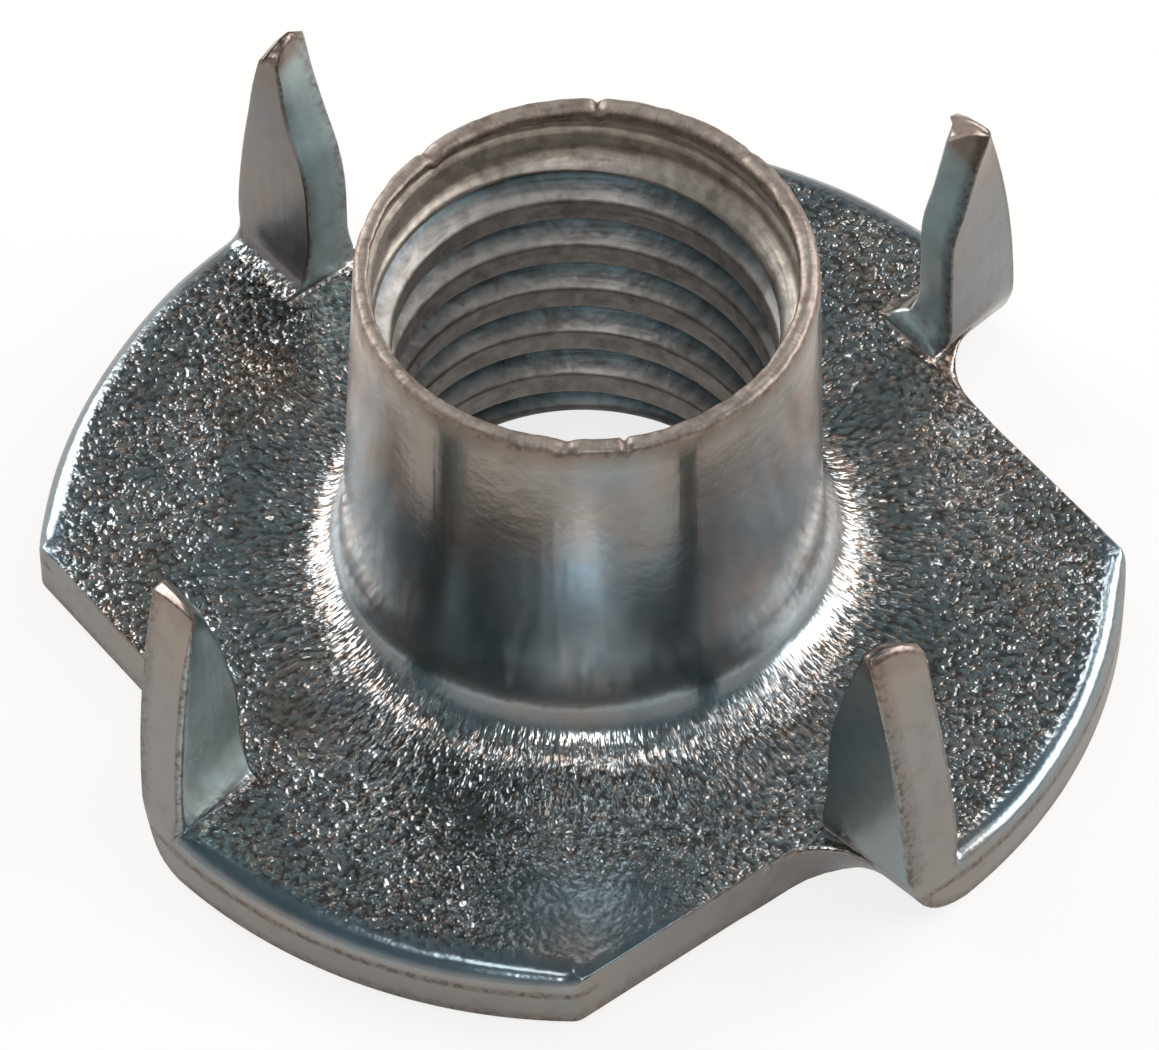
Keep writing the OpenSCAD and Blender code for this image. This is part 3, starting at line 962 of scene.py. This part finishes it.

    # colour: passivate shifts between cool and warm, and higher up a painted reflection of the floor warms
    # it; the thread's grooves carry painted shade and its crests painted light
    cloud = addNode(tree, "TexNoise", {}, {"Vector": mm, **noises["cloud"]})
    # painted reflection: the warm floor's reflection is painted into the tone higher up
    paintedFloorReflection = addNode(tree, "MapRange", soft, {"Value": up, **masks["high"]})
    tone = addNode(tree, "Math", plus, {0: cloud, 1: paintedFloorReflection})
    warmth = addNode(tree, "MapRange", soft, {"Value": tone, **masks["warmth"]})
    colour = addNode(tree, "Mix", mixed, {0: warmth, 6: colours["cool"], 7: colours["warm"]})
    # painted shade in the thread's grooves and painted light on its crests
    shadedGroove = addNode(tree, "MapRange", soft, {"Value": reach, **masks["shadedGroove"]})
    threadLightAndShade = addNode(tree, "Mix", mixed, {0: shadedGroove, 6: colours["litCrest"], 7: colours["shadedGroove"]})
    # painted light: the lead-in is painted pale, as if it caught more light
    threadLightAndShade = addNode(tree, "Mix", mixed, {0: litLeadInShare, 6: threadLightAndShade, 7: colours["lead"]})
    colour = addNode(tree, "Mix", mixed, {0: inBore, 6: colour, 7: threadLightAndShade})
    mottle = addNode(tree, "MapRange", soft, {"Value": waves, **masks["mottle"]})
    colour = addNode(tree, "Mix", darkened, {0: inBore, 6: colour, 7: mottle})

    # sheared steel is paler, and a film on it may be teal or brown, partly its own tint and partly painted
    # light and shade
    paler = addNode(tree, "Math", times, {0: sheared, 1: look["paleShare"]})
    tealFilmAndLight = addNode(tree, "Math", clamped, {0: filmAndShading, 1: 1.0})
    brownFilmAndShade = addNode(tree, "Math", clamped, {0: filmAndShading, 1: -1.0})
    for share, name in ((paler, "pale"), (tealFilmAndLight, "teal"), (brownFilmAndShade, "brown")):
        colour = addNode(tree, "Mix", mixed, {0: share, 6: colour, 7: colours[name]})

    # crystals of either tint, with painted shade between them and a painted highlight on them
    side = addNode(tree, "Math", {"operation": "GREATER_THAN"}, {0: glint[0], 1: 0.5})
    glints = addNode(tree, "Mix", mixed, {0: side, 6: colours["blueGlint"], 7: colours["goldGlint"]})
    glintShare = addNode(tree, "Math", times, {0: glint[1], 1: look["glintShare"]})
    glintShare = addNode(tree, "Math", times, {0: grain, 1: glintShare})
    colour = addNode(tree, "Mix", mixed, {0: glintShare, 6: colour, 7: glints})
    # painted shade in the hollows of the grain and painted highlight on its crowns
    crownHighlights = addNode(tree, "MapRange", soft, {"Value": wrinkles, **masks["crownHighlights"]})
    grainLightAndShade = addNode(tree, "Mix", mixed, {0: crownHighlights, 6: look["pitShade"], 7: look["crownHighlight"]})
    colour = addNode(tree, "Mix", darkened, {0: grain, 6: colour, 7: grainLightAndShade})

    # oxide: stains, specks along the edges, and a line under the rolled rim
    stainNoise = addNode(tree, "TexNoise", {}, {"Vector": mm, **noises["stain"]})
    stains = addNode(tree, "MapRange", soft, {"Value": stainNoise, **masks["stains"]})
    everywhere, more = look["stainShares"]
    stainShare = addNode(tree, "Math", fused, {0: inBore, 1: more, 2: everywhere})
    stained = addNode(tree, "Math", times, {0: stains, 1: stainShare})
    lineLow = addNode(tree, "MapRange", soft, {"Value": up, **masks["lineLow"]})
    lineHigh = addNode(tree, "MapRange", soft, {"Value": up, **masks["lineHigh"]})
    lineOut = addNode(tree, "MapRange", soft, {"Value": reach, **masks["lineOut"]})
    rimLine = addNode(tree, "Math", times, {0: lineLow, 1: lineHigh})
    rimLine = addNode(tree, "Math", times, {0: rimLine, 1: lineOut})
    edges = addNode(tree, "Math", larger, {0: edge, 1: rimLine})
    speckNoise = addNode(tree, "TexNoise", {}, {"Vector": mm, **noises["speck"]})
    specks = addNode(tree, "MapRange", soft, {"Value": speckNoise, **masks["specks"]})
    onEdge = addNode(tree, "Math", times, {0: edges, 1: specks})
    for share in (stained, onEdge):
        colour = addNode(tree, "Mix", mixed, {0: share, 6: colour, 7: colours["brown"]})
    tree.links.new(colour.outputs[2], shader.inputs["Base Color"])

    rough = addNode(tree, "Math", fused, {0: worked, 1: look["roughWorked"], 2: look["rough"]})
    rough = addNode(tree, "Math", fused, {0: patches, 1: look["roughPatch"], 2: rough})
    rough = addNode(tree, "Math", fused, {0: inBore, 1: look["roughBore"], 2: rough})
    tree.links.new(rough.outputs[0], shader.inputs["Roughness"])
    return material


nut = finishPiece(buildNut(), "teeNut", zincPlatedSteel(zincLook))
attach(nut, "root")
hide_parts("tee_nut")
print("nut made")

# Floor, camera and studio.
studio = {
    "floor": "#f3e8de",        # diffuse floor that the metal also mirrors
    "floorRough": 0.9,
    "floorHalf": 0.6, "floorDrop": 0.00002,     # metres: half its side, and how far it clears the underside
    "cameraWhite": 0.8, "mirrorWhite": 0.25,    # share of plain white that the camera and the metal see in it
    "horizon": "#d8cfc8", "air": "#6c7e85",     # what surrounds the nut, low down and above ...
    "skySpan": (0.15, 0.7),    # ... and between which heights the one turns into the other; straight up is 1
    # softboxes: direction from behind the nut as the camera sees it and elevation, in degrees, then distance,
    # width and height in metres, and radiance
    "boxes": {
        "leftBox": (51, 25, 0.5, 0.36, 0.26, 6.4),
        "rightBox": (-70, 27, 0.5, 0.56, 0.22, 5.8),
        "leftHighBox": (38, 50, 0.5, 0.08, 0.1, 7.0),
        "rightHighBox": (-38, 50, 0.5, 0.08, 0.1, 6.0),
        "topBox": (180, 86, 0.55, 0.22, 0.1, 4.5),
        "frontBox": (180, 51, 0.6, 0.1, 0.14, 13.5),
        "rightFarBox": (-108, 52, 0.6, 0.24, 0.16, 2),
    },
}
# Degrees, and millimetres from the flange's centre. The lens and its sensor are in millimetres too.
camera = {
    "turn": -37.5, "back": 91.246, "up": 116.492,
    "pan": -0.0304, "tilt": 51.5457, "roll": -0.2725,
    "lens": 248.49, "sensor": 36,
}


def paleFloor():
    # Matt white card: its diffuse face carries the nut's shadow, and camera and metal both see it near white.
    material = bpy.data.materials.new("mattWhiteCard")
    material.use_nodes = True
    tree = material.node_tree
    shader = tree.nodes["Principled BSDF"]
    shader.inputs["Base Color"].default_value = linear(studio["floor"])
    shader.inputs["Roughness"].default_value = studio["floorRough"]
    shader.inputs["Specular IOR Level"].default_value = 0.0
    white = addNode(tree, "Emission", {}, {"Color": (1, 1, 1, 1), "Strength": 1.0})
    path = addNode(tree, "LightPath").outputs
    seen = addNode(tree, "Math", {"operation": "MULTIPLY"},
                   {0: path["Is Camera Ray"], 1: studio["cameraWhite"]})
    mirrored = addNode(tree, "Math", {"operation": "MAXIMUM"},
                       {0: path["Is Glossy Ray"], 1: path["Is Transmission Ray"]})
    share = addNode(tree, "Math", {"operation": "MULTIPLY_ADD"},
                    {0: mirrored, 1: studio["mirrorWhite"], 2: seen})
    both = addNode(tree, "MixShader", {}, {0: share, 1: shader.outputs[0], 2: white})
    tree.links.new(both.outputs[0], tree.nodes["Material Output"].inputs["Surface"])
    return material


bm = bmesh.new()
bmesh.ops.create_grid(bm, x_segments=1, y_segments=1, size=studio["floorHalf"])
bmesh.ops.translate(bm, verts=bm.verts, vec=(0, 0, -studio["floorDrop"]))
floorMesh = bpy.data.meshes.new("floor")
bm.to_mesh(floorMesh)
bm.free()
floorMesh.materials.append(paleFloor())
floor = bpy.data.objects.new("floor", floorMesh)
bpy.context.scene.collection.objects.link(floor)


def placeCamera():
    lens = bpy.data.cameras.new("camera")
    lens.lens = camera["lens"]
    lens.sensor_width = camera["sensor"]
    eye = bpy.data.objects.new("camera", lens)
    bpy.context.scene.collection.objects.link(eye)
    turn = math.radians(camera["turn"])
    place = Matrix.Rotation(turn, 3, "Z") @ Vector((0, -camera["back"], camera["up"])) * 0.001
    look = (Matrix.Rotation(turn - math.radians(camera["pan"]), 4, "Z")
            @ Matrix.Rotation(math.radians(90 - camera["tilt"]), 4, "X")
            @ Matrix.Rotation(math.radians(camera["roll"]), 4, "Z"))
    eye.matrix_world = Matrix.Translation(place) @ look
    bpy.context.scene.camera = eye


def placeBox(name, turn, up, away, wide, tall, radiance):
    light = bpy.data.lights.new(name, "AREA")
    light.shape = "RECTANGLE"
    light.size, light.size_y = wide, tall
    light.energy = radiance * math.pi * wide * tall
    lamp = bpy.data.objects.new(name, light)
    turn, up = math.radians(90 + camera["turn"] + turn), math.radians(up)
    toBox = Vector((math.cos(up) * math.cos(turn), math.cos(up) * math.sin(turn), math.sin(up)))
    lamp.location = toBox * away
    lamp.rotation_euler = toBox.to_track_quat("Z", "Y").to_euler()
    bpy.context.scene.collection.objects.link(lamp)


placeCamera()
for name, box in studio["boxes"].items():
    placeBox(name, *box)
world = bpy.data.worlds.new("studio")
bpy.context.scene.world = world
world.use_nodes = True
tree = world.node_tree
facing = addNode(tree, "TexCoord").outputs["Generated"]
height = addNode(tree, "SeparateXYZ", {}, {0: facing}).outputs[2]
skyLow, skyHigh = studio["skySpan"]
rise = addNode(tree, "MapRange", {"interpolation_type": "SMOOTHSTEP"},
               {"Value": height, "From Min": skyLow, "From Max": skyHigh}).outputs[0]
sky = addNode(tree, "Mix", {"data_type": "RGBA"},
              {0: rise, 6: linear(studio["horizon"]), 7: linear(studio["air"])}).outputs[2]
tree.links.new(sky, tree.nodes["Background"].inputs["Color"])
bpy.context.scene.view_settings.view_transform = "Standard"
print("studio made")
